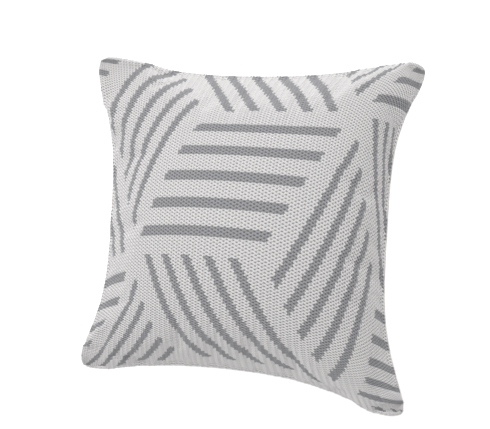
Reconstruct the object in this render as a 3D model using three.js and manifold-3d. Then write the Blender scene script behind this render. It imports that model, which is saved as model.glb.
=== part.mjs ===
// A throw pillow, lying on its back: a knitted zip-off cover over a filled insert.
// Millimetres, +Z up. The origin is the middle of the flat patch that it rests on,
// +Y points to the top edge of the patterned front, and +X to its right edge.
import * as THREE from 'three';
import { mergeVertices } from 'three/addons/utils/BufferGeometryUtils.js';
import Module from 'manifold-3d';

const wasm = await Module();
wasm.setup();

// Outside of the stuffed cover
const COVER_HALF = 228;        // middle to a sewn corner, along X or Y
const SIDE_PULL = 30;          // how far each side pulls in between its corners
const PULL_POWER = 5;          // higher keeps the middle of a side straighter
const CORNER_POWER = 26;       // higher makes the corners sharper
const FRONT_CROWN = 88;        // seam to the top of the front
const BACK_CROWN = 86;         // seam to the lowest point of the back, before it rests
const REST_SINK = 8;           // how much of the back's crown the surface flattens
const PANEL_WALL = 2.6;        // chunky knit
const SEAM_EDGE = 2.6;         // straight edge of a panel beside the seam
const GAP = 0.3;               // between solids that meet
const SEAM_Z = BACK_CROWN - REST_SINK + GAP / 2;
const GRID = 20;               // quads along each side of a panel

// Insert
const INSERT_GAP = 5.4;        // between the cover and the insert
const INSERT_WALL = 1.0;
const FILLING_GAP = 0.4;
const CLOSING_LENGTH = 120;
const CLOSING_WALL = 0.8;
const CLOSING_HEIGHT = 1.6;
const CLOSING_STEPS = 4;

// Zip, in its own frame: x along the chain, y across it, z out of the cover
const ZIP_DEPTH = 11;          // from the seam to the chain, over the back
const ZIP_TILT = 18 * Math.PI / 180;
const ZIP_SINK = 3.2;          // from the outside of the cover to the tapes
const TAPE_HALF_LENGTH = 150;
const TAPE_WIDTH = 9;
const TAPE_WALL = 0.5;
const TAPE_BEND_RADIUS = 26;
const TAPE_STEPS = 5;
const CHAIN_HALF_GAP = 0.5;
const COIL_WIDTH = 2.1;
const COIL_BOTTOM = 0.3;
const COIL_TOP = 1.8;
const COIL_HALF_LENGTH = 139;
const STOP_LENGTH = 3.4;
const SLOT_HALF_LENGTH = 160;
const SLOT_HALF_WIDTH = 4.2;
const SLOT_BELOW = 4;          // how far the slot's cutter reaches each way from the tapes
const SLOT_ABOVE = 12;
const TAPE_END_ROOM = 1;
const TAPE_SIDE_ROOM = 0.6;
const TAPE_OVER_ROOM = 0.4;
const TAPE_CUT_DEPTH = 6;
const SLIDER_REST_X = -134;
const SLIDER_LENGTH = 9;
const SLIDER_HALF_WIDTH = 3.5;
const PLATE_WALL = 0.9;
const BRIDGE_HALF_WIDTH = 1.0;
const BRIDGE_HALF_LENGTH = 2.6;
const PULL_PIVOT_Z = 3.9;
const PULL_LENGTH = 19;
const PULL_WALL = 1.0;

// Thread and label
const THREAD_INSET = 1.7;      // from the inside of the panels to the thread
const THREAD_WALL = 1.4;
const THREAD_HEIGHT = 3.0;
const THREAD_REACH = 168;      // half of the length that each thread covers
const THREAD_STEPS = 16;
const BOTTOM_THREAD_LIFT = 0.8;  // keeps the bottom thread clear of the zip's tape
const LABEL_LENGTH = 30;
const LABEL_HEIGHT = 9;
const LABEL_WALL = 0.4;
const LABEL_INSET = 3.1;       // from the inside of the panels to the label
const LABEL_Y = -70;
const LABEL_DROP = 7.4;        // from the seam down to the label's middle
const LABEL_LEAN = 0.16;       // radians, to follow the flank

const KNIT_FRONT = { color: 0xdcdbd9, roughness: 0.95, metalness: 0 };
const KNIT_BACK = { color: 0xd2d1cf, roughness: 0.95, metalness: 0 };
const THREAD = { color: 0xe6e5e2, roughness: 0.8, metalness: 0 };
const TAPE = { color: 0xd8d7d4, roughness: 0.85, metalness: 0 };
const NYLON = { color: 0xe2e2e0, roughness: 0.4, metalness: 0 };
const ZINC = { color: 0xb9babd, roughness: 0.35, metalness: 1 };
const LINING = { color: 0xefefed, roughness: 0.9, metalness: 0 };
const FIBRE = { color: 0xf4f4f2, roughness: 1, metalness: 0 };
const LABEL = { color: 0xf2f1ee, roughness: 0.7, metalness: 0 };

const pillow = new THREE.Group();

function addMesh(parent, name, geometry, finish) {
  const mesh = new THREE.Mesh(geometry, new THREE.MeshStandardMaterial(finish));
  mesh.name = name;
  parent.add(mesh);
  return mesh;
}

// Half-width of the outline at the place along a side where the other parameter is t
function sideHalf(half, t) {
  return half - SIDE_PULL * (1 - Math.abs(t) ** PULL_POWER);
}

// A point of one pillow layer. a and b run from -90 to 90 degrees across the panel,
// so the steps get finer towards the seam, and the flank is a quarter of an ellipse.
function layerPoint(a, b, layer) {
  const u = Math.sin(a);
  const v = Math.sin(b);
  const biggest = Math.max(Math.abs(u), Math.abs(v));
  const norm = (Math.abs(u) ** CORNER_POWER + Math.abs(v) ** CORNER_POWER) ** (1 / CORNER_POWER);
  const round = norm > 0 ? biggest / norm : 1;
  const rise = layer.edge + (layer.crown - layer.edge) * Math.cos(a) * Math.cos(b);
  return [
    u * round * sideHalf(layer.half, v),
    v * round * sideHalf(layer.half, u),
    layer.side * Math.min(rise, layer.crown - layer.sink),
  ];
}

// One layer as rows of points, over the seam plane at height lift
function layerRows(layer, lift) {
  const angle = (k) => (k / GRID - 0.5) * Math.PI;
  const rows = [];
  for (let j = 0; j <= GRID; j++) {
    for (let i = 0; i <= GRID; i++) {
      const [x, y, z] = layerPoint(angle(i), angle(j), layer);
      rows.push(new THREE.Vector3(x, y, SEAM_Z + lift + z));
    }
  }
  return rows;
}

// Indices of the points round the rim, anticlockwise from above
function rimLoop() {
  const at = (i, j) => j * (GRID + 1) + i;
  const loop = [];
  for (let i = 0; i < GRID; i++) loop.push(at(i, 0));
  for (let j = 0; j < GRID; j++) loop.push(at(GRID, j));
  for (let i = GRID; i > 0; i--) loop.push(at(i, GRID));
  for (let j = GRID; j > 0; j--) loop.push(at(0, j));
  return loop;
}

function closedGeometry(points, triangles) {
  const geometry = new THREE.BufferGeometry().setFromPoints(points);
  geometry.setIndex(triangles);
  return geometry;
}

// Triangles of one grid, facing up unless flipped
function gridTriangles(first, flip) {
  const triangles = [];
  for (let j = 0; j < GRID; j++) {
    for (let i = 0; i < GRID; i++) {
      const a = first + j * (GRID + 1) + i;
      const [b, c, d] = [a + 1, a + GRID + 2, a + GRID + 1];
      triangles.push(...(flip ? [a, c, b, a, d, c] : [a, b, c, a, c, d]));
    }
  }
  return triangles;
}

// A bowl with an open rim at the seam: an outer layer, an inner layer and the wall
// between their rims, which stands on the seam plane
function bowl(outer, inner) {
  const lift = outer.side * GAP / 2;
  const skin = layerRows(outer, lift);
  const lining = layerRows({ ...inner, edge: 0 }, lift);
  const loop = rimLoop();
  const foot = loop.map((k) => new THREE.Vector3(skin[k].x, skin[k].y, SEAM_Z + lift));
  const points = [...skin, ...lining, ...foot];
  const up = outer.side > 0;
  const triangles = [
    ...gridTriangles(0, !up),
    ...gridTriangles(skin.length, up),
  ];
  const quad = (a, b, c, d) => triangles.push(...(up ? [a, b, c, a, c, d] : [a, c, b, a, d, c]));
  loop.forEach((k, n) => {
    const next = (n + 1) % loop.length;
    const [footA, footB] = [2 * skin.length + n, 2 * skin.length + next];
    quad(footA, footB, loop[next], k);
    quad(skin.length + k, skin.length + loop[next], footB, footA);
  });
  return closedGeometry(points, triangles);
}

// A closed lens: an upper and a lower layer joined by a low wall at the rim
function lens(upper, lower) {
  const top = layerRows(upper, 0);
  const bottom = layerRows(lower, 0);
  const triangles = [...gridTriangles(0, false), ...gridTriangles(top.length, true)];
  const loop = rimLoop();
  loop.forEach((k, n) => {
    const next = loop[(n + 1) % loop.length];
    triangles.push(top.length + k, top.length + next, next, top.length + k, next, k);
  });
  return closedGeometry([...top, ...bottom], triangles);
}

// The two layers, front and back, of a shell that lies the given distance inside the cover
function layers(inset, edge) {
  const half = COVER_HALF - inset;
  return {
    front: { side: 1, half, crown: FRONT_CROWN - inset, edge, sink: 0 },
    back: { side: -1, half, crown: BACK_CROWN - inset, edge, sink: REST_SINK },
  };
}

function toSolid(geometry) {
  const bare = geometry.clone();
  bare.deleteAttribute('normal');
  bare.deleteAttribute('uv');
  const merged = mergeVertices(bare, 1e-4);
  return new wasm.Manifold(new wasm.Mesh({
    numProp: 3,
    vertProperties: new Float32Array(merged.attributes.position.array),
    triVerts: new Uint32Array(merged.index.array),
  }));
}

function toGeometry(solid) {
  const mesh = solid.getMesh();
  const geometry = new THREE.BufferGeometry();
  geometry.setAttribute('position', new THREE.BufferAttribute(mesh.vertProperties, 3));
  geometry.setIndex(new THREE.BufferAttribute(mesh.triVerts, 1));
  return geometry;
}

// A box from its low and high corners
function box(low, high) {
  const size = high.map((value, axis) => value - low[axis]);
  const middle = high.map((value, axis) => (value + low[axis]) / 2);
  return new THREE.BoxGeometry(...size).translate(...middle);
}

// A section in the zip's y-z plane, carried along x
function alongChain(outline, from, to) {
  const shape = new THREE.Shape(outline.map(([y, z]) => new THREE.Vector2(y, z)));
  const basis = new THREE.Matrix4().makeBasis(
    new THREE.Vector3(0, 1, 0), new THREE.Vector3(0, 0, 1), new THREE.Vector3(1, 0, 0));
  const geometry = new THREE.ExtrudeGeometry(shape, { depth: to - from, bevelEnabled: false });
  return geometry.applyMatrix4(basis).translate(from, 0, 0);
}

// Section of a strip that bends with the flank: side is 1 for the front half, -1 for the back
function bentStrip(side, near, far, bottom, top) {
  const bend = (y) => TAPE_BEND_RADIUS - Math.sqrt(TAPE_BEND_RADIUS ** 2 - y ** 2);
  const upper = [];
  const lower = [];
  for (let k = 0; k <= TAPE_STEPS; k++) {
    const y = near + (far - near) * k / TAPE_STEPS;
    upper.push([side * y, top - bend(y)]);
    lower.unshift([side * y, bottom - bend(y)]);
  }
  const outline = [...upper, ...lower];
  return side > 0 ? outline.reverse() : outline;
}

// Where the zip's frame sits on the back's flank
function makeZipFrame() {
  const rise = (ZIP_DEPTH - SEAM_EDGE) / (BACK_CROWN - SEAM_EDGE);
  const flankY = -(COVER_HALF - SIDE_PULL) * Math.sqrt(1 - rise ** 2);
  const zip = new THREE.Group();
  zip.rotation.x = Math.PI / 2 + ZIP_TILT;
  zip.position.set(
    0, flankY + ZIP_SINK * Math.cos(ZIP_TILT), SEAM_Z - ZIP_DEPTH + ZIP_SINK * Math.sin(ZIP_TILT));
  zip.updateMatrix();
  return zip;
}

// What the zip needs cut out of the back panel: the slot, and room for the tapes
function zipCut(zip) {
  const slot = box(
    [-SLOT_HALF_LENGTH, -SLOT_HALF_WIDTH, -SLOT_BELOW], [SLOT_HALF_LENGTH, SLOT_HALF_WIDTH, SLOT_ABOVE]);
  const room = TAPE_HALF_LENGTH + TAPE_END_ROOM;
  const reach = CHAIN_HALF_GAP + TAPE_WIDTH + TAPE_SIDE_ROOM;
  const sides = [1, -1].map((side) => toSolid(
    alongChain(bentStrip(side, 0, reach, -TAPE_CUT_DEPTH, TAPE_OVER_ROOM), -room, room).applyMatrix4(zip.matrix)));
  return toSolid(slot.applyMatrix4(zip.matrix)).add(sides[0]).add(sides[1]);
}

function addCover(zip) {
  const outside = layers(0, SEAM_EDGE);
  const inside = layers(PANEL_WALL, 0);
  addMesh(pillow, 'cover_front', bowl(outside.front, inside.front), KNIT_FRONT);
  const back = toSolid(bowl(outside.back, inside.back)).subtract(zipCut(zip));
  addMesh(pillow, 'cover_back', toGeometry(back), KNIT_BACK);
}

function addInsert() {
  const inset = PANEL_WALL + INSERT_GAP;
  const outside = layers(inset, INSERT_WALL);
  const inside = layers(inset + INSERT_WALL, 0);
  addMesh(pillow, 'insert_shell_front', bowl(outside.front, inside.front), LINING);
  addMesh(pillow, 'insert_shell_back', bowl(outside.back, inside.back), LINING);
  const fill = layers(inset + INSERT_WALL + FILLING_GAP, 0);
  addMesh(pillow, 'insert_filling', lens(fill.front, fill.back), FIBRE);
}

// A thread along the top side, just inside the panels: a flat-sided strand that follows
// the side's own curve
function strand(half, reach, steps, wall, height, lift) {
  const points = [];
  for (let k = 0; k <= steps; k++) {
    const x = (2 * k / steps - 1) * reach;
    points.push(new THREE.Vector2(x, sideHalf(half, x / half)));
  }
  const inner = points.map((point) => new THREE.Vector2(point.x, point.y - wall)).reverse();
  const shape = new THREE.Shape([...points, ...inner]);
  const geometry = new THREE.ExtrudeGeometry(shape, { depth: height, bevelEnabled: false });
  return geometry.translate(0, 0, SEAM_Z + lift);
}

function addSeamThreads() {
  const half = COVER_HALF - PANEL_WALL - THREAD_INSET;
  const sides = { top: 0, left: 1, bottom: 2, right: 3 };
  for (const [side, turns] of Object.entries(sides)) {
    const lift = side === 'bottom' ? BOTTOM_THREAD_LIFT : -THREAD_HEIGHT / 2;
    const thread = strand(half, THREAD_REACH, THREAD_STEPS, THREAD_WALL, THREAD_HEIGHT, lift);
    addMesh(pillow, `overlock_thread_${side}`, thread.rotateZ(turns * Math.PI / 2), THREAD);
  }
}

function addClosingThread() {
  const half = COVER_HALF - PANEL_WALL - INSERT_GAP + GAP + CLOSING_WALL;
  const thread = strand(
    half, CLOSING_LENGTH / 2, CLOSING_STEPS, CLOSING_WALL, CLOSING_HEIGHT, -CLOSING_HEIGHT / 2);
  addMesh(pillow, 'insert_closing_thread', thread, THREAD);
}

// The care label hangs inside the left seam, under its thread, and follows the flank
function addCareLabel() {
  const geometry = new THREE.BoxGeometry(LABEL_WALL, LABEL_LENGTH, LABEL_HEIGHT);
  const label = addMesh(pillow, 'care_label', geometry, LABEL);
  label.position.set(-(COVER_HALF - SIDE_PULL - PANEL_WALL - LABEL_INSET), LABEL_Y, SEAM_Z - LABEL_DROP);
  label.rotation.y = -LABEL_LEAN;
}

function addTapes(zip) {
  const far = CHAIN_HALF_GAP + TAPE_WIDTH;
  for (const [name, side] of [['front', 1], ['back', -1]]) {
    const section = bentStrip(side, CHAIN_HALF_GAP, far, -TAPE_WALL, 0);
    const tape = alongChain(section, -TAPE_HALF_LENGTH, TAPE_HALF_LENGTH);
    addMesh(zip, `zipper_tape_${name}`, tape, TAPE);
  }
}

// Each half of the coil is a bar with a rounded top
function addCoils(zip) {
  const radius = COIL_WIDTH / 2;
  for (const [name, side] of [['front', 1], ['back', -1]]) {
    const middle = side * (CHAIN_HALF_GAP + radius);
    const outline = [[middle - radius, COIL_BOTTOM], [middle + radius, COIL_BOTTOM]];
    for (let k = 0; k <= 6; k++) {
      const turn = k * Math.PI / 6;
      const height = (COIL_TOP - COIL_BOTTOM) * (0.5 + 0.5 * Math.sin(turn));
      outline.push([middle + radius * Math.cos(turn), COIL_BOTTOM + height]);
    }
    const coil = alongChain(outline, -COIL_HALF_LENGTH, COIL_HALF_LENGTH);
    addMesh(zip, `zipper_coil_${name}`, coil, NYLON);
  }
}

function addStops(zip) {
  const near = COIL_HALF_LENGTH + GAP;
  const top = COIL_TOP + 0.3;
  const wide = CHAIN_HALF_GAP + COIL_WIDTH + 0.3;
  for (const [name, side] of [['front', 1], ['back', -1]]) {
    const [low, high] = side > 0 ? [0.4, wide] : [-wide, -0.4];
    const stop = box([-near - STOP_LENGTH, low, GAP], [-near, high, top]);
    addMesh(zip, `zipper_top_stop_${name}`, stop, ZINC);
  }
  const bottom = box([near, -wide, GAP], [near + STOP_LENGTH, wide, top]);
  addMesh(zip, 'zipper_bottom_stop', bottom, ZINC);
}

// Two plates, a post between them where the halves part, flanges that hold the coil,
// and a bridge over the pull's bar
function addSlider(zip) {
  const end = SLIDER_LENGTH / 2;
  const wide = SLIDER_HALF_WIDTH;
  const plateLow = COIL_TOP + GAP;
  const plateTop = plateLow + PLATE_WALL;
  const underTop = -TAPE_WALL - GAP - 0.1;
  const bridgeLow = PULL_PIVOT_Z + 0.9;
  const bridgeTop = bridgeLow + 0.8;
  const plate = new THREE.Shape([
    new THREE.Vector2(-end, -wide + 0.8),
    new THREE.Vector2(-end + 1.2, -wide),
    new THREE.Vector2(end - 2.4, -wide),
    new THREE.Vector2(end, -wide + 0.4),
    new THREE.Vector2(end, wide - 0.4),
    new THREE.Vector2(end - 2.4, wide),
    new THREE.Vector2(-end + 1.2, wide),
    new THREE.Vector2(-end, wide - 0.8),
  ]);
  const plateAt = (low, wall) => new THREE.ExtrudeGeometry(
    plate, { depth: wall, bevelEnabled: false }).translate(0, 0, low);
  const solids = [
    plateAt(plateLow, PLATE_WALL),
    plateAt(underTop - PLATE_WALL, PLATE_WALL),
    box([-end + 0.4, -0.2, underTop - 0.2], [-end + 2.2, 0.2, plateLow + 0.2]),
  ];
  for (const side of [1, -1]) {
    const [low, high] = side > 0 ? [wide - 0.6, wide] : [-wide, -wide + 0.6];
    solids.push(box([-end + 1.2, low, 0.4], [end - 2.4, high, plateLow + 0.2]));
    const [post, far] = side > 0 ? [BRIDGE_HALF_LENGTH - 0.8, BRIDGE_HALF_LENGTH]
      : [-BRIDGE_HALF_LENGTH, -BRIDGE_HALF_LENGTH + 0.8];
    solids.push(box(
      [post, -BRIDGE_HALF_WIDTH, plateTop - 0.2], [far, BRIDGE_HALF_WIDTH, bridgeTop - 0.1]));
  }
  solids.push(box([-BRIDGE_HALF_LENGTH, -BRIDGE_HALF_WIDTH, bridgeLow],
    [BRIDGE_HALF_LENGTH, BRIDGE_HALF_WIDTH, bridgeTop]));
  const whole = solids.map(toSolid).reduce((all, solid) => all.add(solid));
  addMesh(zip, 'zipper_slider', toGeometry(whole), ZINC).position.x = SLIDER_REST_X;
}

// A flat tab: its bar lies under the slider's bridge, and the bridge's post in its window
function addPull(zip) {
  const bar = 0.5;
  const arm = 2.4;
  const tab = 3.0;
  const outline = new THREE.Shape([
    new THREE.Vector2(-bar, -arm),
    new THREE.Vector2(3.6, -arm),
    new THREE.Vector2(5.6, -1.9),
    new THREE.Vector2(PULL_LENGTH - 4, -tab),
  ]);
  outline.absarc(PULL_LENGTH - 3, 0, tab, -Math.PI / 2, Math.PI / 2);
  outline.lineTo(PULL_LENGTH - 4, tab);
  outline.lineTo(5.6, 1.9);
  outline.lineTo(3.6, arm);
  outline.lineTo(-bar, arm);
  const windowHole = new THREE.Path();
  windowHole.setFromPoints([
    new THREE.Vector2(bar, -1.4), new THREE.Vector2(bar, 1.4),
    new THREE.Vector2(3.4, 1.4), new THREE.Vector2(3.4, -1.4)]);
  const eye = new THREE.Path().absarc(PULL_LENGTH - 3.2, 0, 1.2, 0, 2 * Math.PI, true);
  outline.holes.push(windowHole, eye);
  const geometry = new THREE.ExtrudeGeometry(
    outline, { depth: PULL_WALL, bevelEnabled: false, curveSegments: 8 });
  geometry.translate(0, 0, -PULL_WALL / 2);
  const pull = addMesh(zip, 'zipper_pull', geometry, ZINC);
  pull.position.set(SLIDER_REST_X, 0, PULL_PIVOT_Z);
}

const zipFrame = makeZipFrame();
pillow.add(zipFrame);
addCover(zipFrame);
addInsert();
addSeamThreads();
addClosingThread();
addCareLabel();
addTapes(zipFrame);
addCoils(zipFrame);
addStops(zipFrame);
addSlider(zipFrame);
addPull(zipFrame);

export default pillow;
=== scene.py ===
import bmesh
import bpy
import numpy as np
from bpy.props import FloatProperty, FloatVectorProperty, IntProperty, PointerProperty
from mathutils import Matrix, Vector


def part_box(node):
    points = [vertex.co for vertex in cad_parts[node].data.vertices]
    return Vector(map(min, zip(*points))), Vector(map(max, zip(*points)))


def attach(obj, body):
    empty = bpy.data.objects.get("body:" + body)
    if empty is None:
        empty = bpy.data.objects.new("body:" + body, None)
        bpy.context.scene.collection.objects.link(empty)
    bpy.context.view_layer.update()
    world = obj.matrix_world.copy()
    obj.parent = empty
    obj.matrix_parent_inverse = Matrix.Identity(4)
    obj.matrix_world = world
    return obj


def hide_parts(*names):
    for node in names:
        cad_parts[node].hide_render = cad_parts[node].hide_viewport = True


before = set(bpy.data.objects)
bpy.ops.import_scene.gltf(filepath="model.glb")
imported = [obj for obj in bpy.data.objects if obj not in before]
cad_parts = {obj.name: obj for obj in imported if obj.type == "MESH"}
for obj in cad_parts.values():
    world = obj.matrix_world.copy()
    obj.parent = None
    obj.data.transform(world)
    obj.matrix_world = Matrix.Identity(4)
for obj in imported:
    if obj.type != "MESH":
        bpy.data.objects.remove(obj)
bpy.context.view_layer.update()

bl_info = {
    "name": "Knitted throw pillow",
    "version": (1, 0, 0),
    "blender": (4, 5, 0),
    "location": "View3D > Sidebar > Pillow",
    "description": "Makes a jacquard knitted pillow cover with its zip and insert around the packed model",
    "category": "Object",
}

MM = 0.001

# The fabric is cut square, and each half is measured from its middle.
FABRIC_HALF = 228.5 * MM
CORNER_ROUNDING = 10
PULL_POWER = 3.5
QUARTER_SINE = 0.39
FULLNESS = 0.542

# How far each side of the seam is drawn in at its deepest, how far that dip sits off centre, and the
# power it fades with: a high one leaves the side straight with a flare at its ends.
SIDE_DIPS = {
    "left": (0.5 * MM, 0.0, 6.0),
    "right": (37 * MM, 0.0, 5.5),
    "top": (13 * MM, -0.43, 4.3),
    "bottom": (18 * MM, -0.52, 4.7),
}
# Which way each corner has been pulled out of square when the pillow was plumped.
CORNER_PULLS = (
    (-1, 1, (-53 * MM, 41 * MM, 44 * MM)),
    (1, 1, (41 * MM, 30 * MM, -20 * MM)),
    (1, -1, (42 * MM, -50 * MM, 17 * MM)),
    (-1, -1, (-54 * MM, -26 * MM, 43 * MM)),
)
# The knit creeps over the filling: right where it nears either side, and down there; it leans and spreads.
CREEP_RIGHT, CREEP_LEAN, CREEP_SPREAD = 68 * MM, 13 * MM, 10 * MM
CREEP_DOWN, CREEP_TILT, CREEP_RISE, CREEP_SAG = 26 * MM, 7 * MM, 15 * MM, 10 * MM

# The zip's own directions, from its slider: along the chain, up towards the seam, and out of the back.
ZIP_TILT = np.radians(18)
ZIP_ALONG = np.array((1.0, 0.0, 0.0))
ZIP_UP = np.array((0.0, -np.sin(ZIP_TILT), np.cos(ZIP_TILT)))
ZIP_OUT = np.array((0.0, -np.cos(ZIP_TILT), -np.sin(ZIP_TILT)))


def linear(hex_colour):
    """sRGB hex to linear red, green, blue and alpha."""
    channels = np.array([int(hex_colour[i:i + 2], 16) for i in (1, 3, 5)]) / 255
    low = channels / 12.92
    high = ((channels + 0.055) / 1.055) ** 2.4
    return (*np.where(channels <= 0.04045, low, high), 1.0)


def smooth(x):
    """An eased step: 0 below 0, 1 above 1."""
    x = np.clip(x, 0, 1)
    return x * x * (3 - 2 * x)


# ---------------------------------------------------------------- settings

class PillowShape(bpy.types.PropertyGroup):
    half_width: FloatProperty(
        name="Half width", description="From the middle to a side, stuffed", default=0.2165, unit="LENGTH")
    crown_front: FloatProperty(
        name="Front crown", description="Height of the front over the seam", default=0.0905, unit="LENGTH")
    crown_back: FloatProperty(
        name="Back crown", description="Depth of the back under the seam", default=0.088, unit="LENGTH")
    seam_height: FloatProperty(
        name="Seam height", description="Seam over the surface the pillow rests on",
        default=0.07815, unit="LENGTH")
    wall: FloatProperty(name="Cloth", description="Thickness of the knit", default=0.0024, unit="LENGTH")
    seam_groove: FloatProperty(
        name="Seam groove", description="How far the panels turn in at the seam",
        default=0.0018, unit="LENGTH")
    settle_limit: FloatProperty(
        name="Settle limit", description="The most that the stuffed cloth may move",
        default=0.007, unit="LENGTH")


class PillowKnit(bpy.types.PropertyGroup):
    wales: IntProperty(name="Wales", description="Columns of stitches across the front", default=63)
    courses: IntProperty(name="Courses", description="Rows of stitches up the front", default=126)
    back_wales: IntProperty(name="Back wales", description="Columns of stitches across the back", default=76)
    back_courses: IntProperty(name="Back courses", description="Rows of stitches up the back", default=128)
    relief: FloatProperty(
        name="Relief", description="Depth of the gaps between the front's loops",
        default=0.0018, unit="LENGTH")
    back_relief: FloatProperty(
        name="Back relief", description="Depth of the gaps in the back", default=0.0007, unit="LENGTH")
    white: FloatVectorProperty(
        name="White yarn", description="Ground colour", subtype="COLOR", size=4, default=linear("#FAF8F8"))
    grey: FloatVectorProperty(
        name="Grey yarn", description="Stripe colour", subtype="COLOR", size=4, default=linear("#B9B9BD"))
    back: FloatVectorProperty(
        name="Back yarn", description="Back panel colour", subtype="COLOR", size=4, default=linear("#D9D8D5"))


class PillowStage(bpy.types.PropertyGroup):
    distance: FloatProperty(name="Distance", description="Camera to pillow", default=1.6, unit="LENGTH")
    yaw: FloatProperty(name="Yaw", description="Camera round to the right", default=np.radians(17.2),
                       subtype="ANGLE")
    pitch: FloatProperty(name="Pitch", description="Camera above the front", default=0.0, subtype="ANGLE")
    roll: FloatProperty(name="Roll", description="Camera's turn about its own axis", default=np.radians(3.4),
                        subtype="ANGLE")
    lens: FloatProperty(name="Lens", description="Focal length on a 36 mm sensor", default=86.0)
    floor: FloatVectorProperty(
        name="Floor", description="Floor colour", subtype="COLOR", size=4, default=linear("#FBFBFB"))


# ---------------------------------------------------------------- the stuffed form

def cushion_surface(shape, s, t, side):
    """Points of the stuffed cover over fabric coordinates s, t from -1 to 1, front for side 1, back for -1.

    u is s drawn in by part of a quarter sine wave, and v is t in the same way. The corners are rounded
    by dividing both by (1 + |u v|^n)^(1/n), with n the rounding. x is u times the half width less the dip
    of the left and right sides, shared out by a quarter sine of u, and each dip fades as a power of v
    towards the corners; y likewise. z stands off the seam's plane by the crown times
    ((1 - u^2)(1 - v^2)) to the power of the fullness, before the rounding. Each corner's pull is then
    added, with a weight that fades from it as a power of u v.
    """
    u = (1 - QUARTER_SINE) * np.sin(s * np.pi / 2) + QUARTER_SINE * s
    v = (1 - QUARTER_SINE) * np.sin(t * np.pi / 2) + QUARTER_SINE * t
    crown = shape.crown_front if side > 0 else shape.crown_back
    z = side * crown * np.clip((1 - u ** 2) * (1 - v ** 2), 0, None) ** FULLNESS + shape.seam_height
    rounding = (1 + np.abs(u * v) ** CORNER_ROUNDING) ** (-1 / CORNER_ROUNDING)
    u = u * rounding
    v = v * rounding

    def dips(low_name, high_name, across, along):
        share = (1 + np.sin(np.pi / 2 * across)) / 2
        low, high = (
            depth * (1 - np.abs(along - off_centre * (1 - along ** 2)) ** power)
            for depth, off_centre, power in (SIDE_DIPS[low_name], SIDE_DIPS[high_name]))
        return low * (1 - share) + high * share

    half = shape.half_width
    x = u * (half - dips("left", "right", u, v))
    y = v * (half - dips("bottom", "top", v, u))
    for right, up, (dx, dy, dz) in CORNER_PULLS:
        weight = (1 + right * u) * (1 + up * v) / 4 * np.abs(u * v) ** PULL_POWER
        x = x + dx * weight
        y = y + dy * weight
        z = z + dz * weight
    return np.stack([x, y, z], axis=-1)


def crept(s, t):
    """Fabric coordinates after the creep, which is greatest part way to each side and zero at the seam."""
    move_s = (CREEP_RIGHT * s ** 2 + CREEP_LEAN * t + CREEP_SPREAD * s) / FABRIC_HALF
    move_t = (CREEP_RISE * t - CREEP_SAG * t ** 2 - CREEP_DOWN * s ** 2 - CREEP_TILT * s) / FABRIC_HALF
    return s + (1 - s ** 2) * move_s, t + (1 - t ** 2) * move_t


def normals_of(points, side):
    """Unit normals of a grid of points, as the cross product of its two directions of travel."""
    along = np.gradient(points, axis=1)
    up = np.gradient(points, axis=0)
    out = np.cross(along, up) * side
    return out / np.maximum(np.linalg.norm(out, axis=-1, keepdims=True), 1e-12)


def quads(rows, columns, start=0, flip=False):
    """Corner numbers of every cell of a grid of rows x columns points that starts at a number."""
    first = (np.arange(rows - 1)[:, None] * columns + np.arange(columns - 1)[None, :]).ravel() + start
    cells = np.stack([first, first + 1, first + columns + 1, first + columns], axis=1)
    return cells[:, ::-1] if flip else cells


def mesh_of(name, points, faces, uv=None):
    """A mesh object at the origin from points and a list of face arrays, each array of one corner count."""
    mesh = bpy.data.meshes.new(name)
    corners = np.concatenate([f.ravel() for f in faces]).astype(np.int32)
    counts = np.concatenate([np.full(len(f), f.shape[1]) for f in faces])
    mesh.vertices.add(len(points))
    mesh.vertices.foreach_set("co", np.ascontiguousarray(points, dtype=np.float32).ravel())
    mesh.loops.add(len(corners))
    mesh.loops.foreach_set("vertex_index", corners)
    mesh.polygons.add(len(counts))
    mesh.polygons.foreach_set("loop_start", (np.cumsum(counts) - counts).astype(np.int32))
    mesh.polygons.foreach_set("use_smooth", np.full(len(counts), True))
    if uv is not None:
        layer = mesh.uv_layers.new(name="fabric")
        layer.uv.foreach_set("vector", np.ascontiguousarray(uv[corners], dtype=np.float32).ravel())
    mesh.update(calc_edges=True)
    mesh.validate()
    made = bpy.data.objects.new(name, mesh)
    bpy.context.scene.collection.objects.link(made)
    return made


def cubic_weights(count, where):
    """Catmull-Rom weights from `count` evenly spaced knots on -1…1 to each place in `where`."""
    at = (np.asarray(where) + 1) / 2 * (count - 1)
    first = np.clip(np.floor(at).astype(int), 0, count - 2)
    f = at - first
    weights = np.zeros((len(at), count))
    rows = np.arange(len(at))
    spline = (
        (-1, -0.5 * f + f ** 2 - 0.5 * f ** 3),
        (0, 1 - 2.5 * f ** 2 + 1.5 * f ** 3),
        (1, 0.5 * f + 2 * f ** 2 - 1.5 * f ** 3),
        (2, -0.5 * f ** 2 + 0.5 * f ** 3),
    )
    for step, share in spline:
        np.add.at(weights, (rows, np.clip(first + step, 0, count - 1)), share)
    return weights


def joined_skins(count, edge):
    """Two square grids of points, front then back, joined along their edge into one closed skin.

    It gives the numbers of the points that are kept, and each face's corners among them.
    """
    numbers = np.arange(count * count).reshape(count, count)
    under = np.where(edge, numbers, numbers + count * count)
    cells = [
        np.stack([n[:-1, :-1], n[:-1, 1:], n[1:, 1:], n[1:, :-1]], axis=-1).reshape(-1, 4)[:, ::way]
        for n, way in ((numbers, 1), (under, -1))]
    kept, corners = np.unique(np.concatenate(cells), return_inverse=True)
    return kept, corners.reshape(-1, 4)


KNOTS = 57
HELD_BELOW = -0.86  # the back is held by its zip from here down to the bottom seam
SETTLING_FRAMES = 20
SETTLED = {}


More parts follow.
